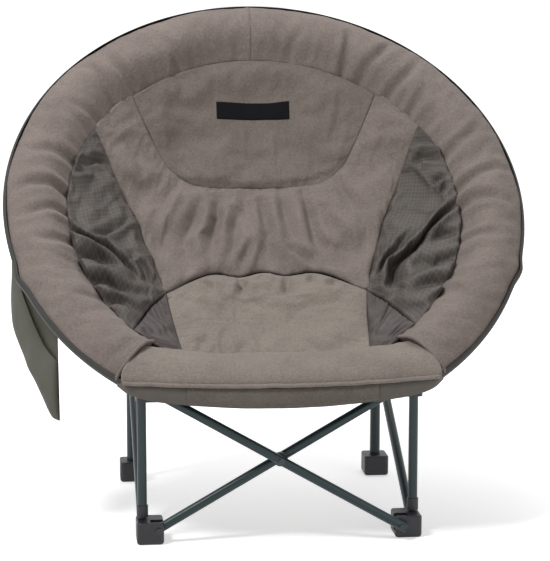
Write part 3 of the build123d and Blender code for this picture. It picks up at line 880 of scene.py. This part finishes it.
class CHAIR_OT_front(ChairOperator):
    """Rolls the padded front edge and hangs its hem"""

    bl_idname = "chair.front"
    bl_label = "Front Edge"

    def build(self):
        self.mid = self.hoop.centre.x
        self.depth = self.hoop.centre.y - 0.2375
        self.roll(fleece("front fleece", self.colours.seat))
        self.hem(weave("hem cloth", self.colours.hem, 0.0014, 0.14))

    def at(self, x, y, z):
        """A point from the work frame's millimetres."""
        return Vector((self.mid + x * MM, self.depth + y * MM, z * MM))

    def roll(self, cloth):
        line = Seam(ROLL + ROLL[:1])

        def place(a, b, u, v):
            w = min(1.0, v / 0.45) if v < 0.5 else (1 - v) * 2
            half = 207 + 61 * w
            x = (u - 0.5) * 2 * half
            k = (x / half) ** 2
            y, z = line(v)
            along = x * 0.01
            gather = fold(wobble(along * 3.4, v * 3, seed=61)) * 4.5 + wobble(along * 1.4, v * 4, seed=62) * 4.0
            swell = math.sin(math.pi * min(1.0, v * 2)) ** 0.7 if v < 0.5 else 0.0
            back, rise = (10 * w - 27 * (1 - w)) * k, (8 * w + 25 * (1 - w)) * k
            return self.at(x, y + back - gather * 0.25 * swell, z + rise + gather * swell)

        side = [(0, 0), (0, 1)]
        bm = patch(Seam([(0, 0), (1, 0)]), Seam([(0, 1), (1, 1)]), Seam(side), Seam([(1, 0), (1, 1)]), 150, 60, place,
                   (0.41, 0.3))
        bmesh.ops.remove_doubles(bm, verts=bm.verts, dist=WELD)
        bmesh.ops.holes_fill(bm, edges=[e for e in bm.edges if e.is_boundary])
        line_x = np.linspace(-266, 266, 90)
        welt(bm, [self.at(x, -51 + 10 * (x / 268) ** 2, 279 + 8 * (x / 268) ** 2 + wobble(x * 0.03, seed=65) * 1.5)
                  for x in line_x], ROLL_WELT)
        obj = finish_mesh(bm, "padded_front_roll", cloth)
        across(obj, self.hoop, FRONT_BEND)
        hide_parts("front_roll")

    def hem(self, cloth):
        top, low = Seam(HEM_TOP), Seam(HEM_LOW)

        def place(x, z, u, v):
            ripple = wobble(x * 0.022, z * 0.012, seed=71) * 2.4 * (1 - v) + fold(wobble(x * 0.05, 0.0, seed=72)) * 1.6
            swell = 8 * math.sin(math.pi * min(1.0, v * 0.9 + 0.1)) ** 0.6
            wrap = 20 * max(0.0, (abs(x) - 236) / 38) ** 2
            return self.at(x, -43 + 10 * (x / 268) ** 2 + wrap - ripple - swell, z)

        ends = [Seam([HEM_LOW[i], HEM_TOP[i]]) for i in (0, -1)]
        bm = patch(low, top, *ends, 150, 22, place, (0.54, 0.04))
        obj = open_sheet(bm, "hanging_hem", cloth, Vector((0, -1, 0)))
        thicken(obj, self.sizes.cloth_thickness)
        across(obj, self.hoop, FRONT_BEND)
        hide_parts("front_hem")
        self.strip(place, top, low)

    def strip(self, place, top, low):
        """The strip of fleece sewn over the middle of the hem."""
        def on_hem(x, z, u, v):
            t = (x - HEM_TOP[0][0]) / (HEM_TOP[-1][0] - HEM_TOP[0][0])
            edge_low, edge_high = low(t)[1], top(t)[1]
            p = place(x, edge_low + (edge_high - edge_low) * (0.1 + 0.86 * v), t, 0.1 + 0.86 * v)
            return p - Vector((0, 0.0016, 0))

        a, b, c, d = (-160, 0), (160, 0), (-160, 1), (160, 1)
        bm = patch(Seam([a, b]), Seam([c, d]), Seam([a, c]), Seam([b, d]), 90, 14, on_hem, (0.32, 0.034))
        obj = open_sheet(bm, "hem_strip", fleece("hem fleece", self.colours.strip), Vector((0, -1, 0)))
        thicken(obj, 0.0012)
        across(obj, self.hoop, FRONT_BEND)


class CHAIR_OT_pocket(ChairOperator):
    """Hangs the cloth pocket at the left side"""

    bl_idname = "chair.pocket"
    bl_label = "Side Pocket"

    def build(self):
        cloth = weave("pocket cloth", self.colours.pocket, 0.0015, 0.12)
        out, go = Vector((-0.798, -0.603, 0)), Vector((0.603, -0.798, 0))
        origin = Vector((self.hoop.centre.x - 0.446, self.hoop.centre.y - 0.2375 + 0.226, 0))

        def face(bulge, sag):
            def place(u0, z, u, v):
                s = shape(u, min(v, 0.98), 0.5)
                w = bulge * s + sag * wobble(u0 * 0.03, z * 0.02, seed=81) * s
                return origin + go * (u0 * MM) + Vector((0, 0, z * MM)) + out * (w * MM)
            return place

        corner = (127, 190)
        bottom = Seam([POCKET_LEFT[0], corner])
        bm = patch(bottom, Seam(POCKET_MOUTH), Seam(POCKET_LEFT), Seam([corner, POCKET_MOUTH[-1]]), 30, 60, face(17, 5),
                   (0.13, 0.27))
        back = patch(bottom, Seam(POCKET_HANG), Seam(POCKET_LEFT[:-1] + POCKET_HANG[:1]),
                     Seam([corner, POCKET_HANG[-1]]), 30, 60, face(-1.5, 1), (0.13, 0.3))
        face_up(bm, out)
        face_up(back, out)
        mesh = bpy.data.meshes.new("pocket back")
        back.to_mesh(mesh)
        back.free()
        bm.from_mesh(mesh)
        bpy.data.meshes.remove(mesh)
        obj = open_sheet(bm, "cloth_pocket", cloth, out)
        thicken(obj, self.sizes.cloth_thickness)
        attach(obj, "left_hoop")
        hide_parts("side_pocket")


class CHAIR_OT_hardware(ChairOperator):
    """Finishes the tubes, plastics and pins"""

    bl_idname = "chair.hardware"
    bl_label = "Frame Finishes"

    def build(self):
        c = self.colours
        looks = {"frame_paint": paint("frame paint", c.frame), "black_plastic": plastic("black plastic", c.plastic),
                 "pin_steel": steel("pin steel", c.steel)}
        tubes = ("post", "brace", "tube", "rest")
        pins = ("pin", "rivet", "eye")
        for name, obj in frame["nodes"].items():
            word = name.split("_")
            if word[-1] in pins or "rivet" in name:
                look = looks["pin_steel"]
            elif any(w in tubes for w in word) and "collar" not in name and "clamp" not in name:
                look = looks["frame_paint"]
            # Everything else gets black plastic; on the corner brackets under the front hem that black is partly
            # painted shade under the hem.
            else:
                look = looks["black_plastic"]
            obj.data.materials.clear()
            obj.data.materials.append(look)


class CHAIR_OT_stage(ChairOperator):
    """Sets the floor, lights, world and camera"""

    bl_idname = "chair.stage"
    bl_label = "Stage"

    def build(self):
        scene = bpy.context.scene
        scene.view_settings.view_transform = "Standard"
        bm = bmesh.new()
        bmesh.ops.create_grid(bm, x_segments=1, y_segments=1, size=30)
        s = Shader.material("studio floor")
        grain = s.noise(s.coords(), 3.0)
        away = s.add("ShaderNodeVectorMath", {"operation": "LENGTH"}, {0: s.coords()}, out=1)
        beyond = s.add("ShaderNodeMapRange", inputs={0: away, 1: 0.45, 2: 1.5, 3: 0.0, 4: 1.0})
        near = s.mix(beyond, (0.52, 0.52, 0.52, 1), WHITE)
        seen = s.mix(s.seen(), BLACK, near)
        white = s.set(Base_Color=s.mix(grain, (0.86, 0.86, 0.86, 1), (0.9, 0.9, 0.9, 1)), Roughness=0.9,
                      Specular_IOR_Level=0.0, Emission_Color=seen, Emission_Strength=1.0)
        floor = finish_mesh(bm, "floor", white)
        for name, settings in LAMPS.items():
            self.lamp(name, *settings)
        self.sky(scene)
        self.eye(scene)

    def lamp(self, name, at, size, power):
        data = bpy.data.lights.new(name, "AREA")
        data.shape, data.size, data.energy = "DISK", size, power
        obj = bpy.data.objects.new(name, data)
        obj.matrix_world = self.looking(Vector(at), Vector((0, 0, 0.4)))
        bpy.context.scene.collection.objects.link(obj)

    def sky(self, scene):
        s = Shader(bpy.data.worlds.new("studio"), "Background")
        scene.world = s.set(Color=s.mix(s.seen(), SHADE, WHITE), Strength=1.0)

    def looking(self, at, target):
        back = (at - target).normalized()
        side = Vector((0, 0, 1)).cross(back).normalized()
        up = back.cross(side)
        return Matrix.Translation(at) @ Matrix((side, up, back)).transposed().to_4x4()

    def eye(self, scene):
        data = bpy.data.cameras.new("camera")
        data.sensor_fit, data.sensor_width, data.lens = "HORIZONTAL", SENSOR, LENS
        data.shift_x, data.shift_y = SHIFT
        target = Vector((self.hoop.centre.x, self.hoop.centre.y - 0.0375, 0.42))
        rise, turn = CAMERA_RISE, CAMERA_TURN
        back = Vector((math.sin(turn) * math.cos(rise), -math.cos(turn) * math.cos(rise), math.sin(rise)))
        obj = bpy.data.objects.new("camera", data)
        obj.matrix_world = self.looking(target + back * CAMERA_AWAY, target)
        scene.collection.objects.link(obj)
        scene.camera = obj


class CHAIR_PT_panel(bpy.types.Panel):
    """Chair settings in the 3D view's sidebar"""

    bl_label = "Padded Hoop Chair"
    bl_idname = "CHAIR_PT_panel"
    bl_space_type = "VIEW_3D"
    bl_region_type = "UI"
    bl_category = "Chair"

    def draw(self, context):
        for group in (context.scene.chair_sizes, context.scene.chair_colours):
            box = self.layout.box()
            for name in group.__annotations__:
                box.prop(group, name)
        for op in STEPS:
            self.layout.operator(op.bl_idname)


STEPS = (CHAIR_OT_sling, CHAIR_OT_panels, CHAIR_OT_label, CHAIR_OT_rim, CHAIR_OT_front, CHAIR_OT_pocket,
         CHAIR_OT_hardware, CHAIR_OT_stage)
CLASSES = (ChairSizes, ChairColours, *STEPS, CHAIR_PT_panel)


def register():
    for cls in CLASSES:
        bpy.utils.register_class(cls)
    bpy.types.Scene.chair_sizes = PointerProperty(type=ChairSizes)
    bpy.types.Scene.chair_colours = PointerProperty(type=ChairColours)


def unregister():
    del bpy.types.Scene.chair_colours
    del bpy.types.Scene.chair_sizes
    for cls in reversed(CLASSES):
        bpy.utils.unregister_class(cls)


def main():
    register()
    bpy.ops.chair.sling()
    bpy.ops.chair.panels()
    bpy.ops.chair.label()
    bpy.ops.chair.rim()
    bpy.ops.chair.front()
    bpy.ops.chair.pocket()
    bpy.ops.chair.hardware()
    bpy.ops.chair.stage()


if __name__ == "__main__":
    main()
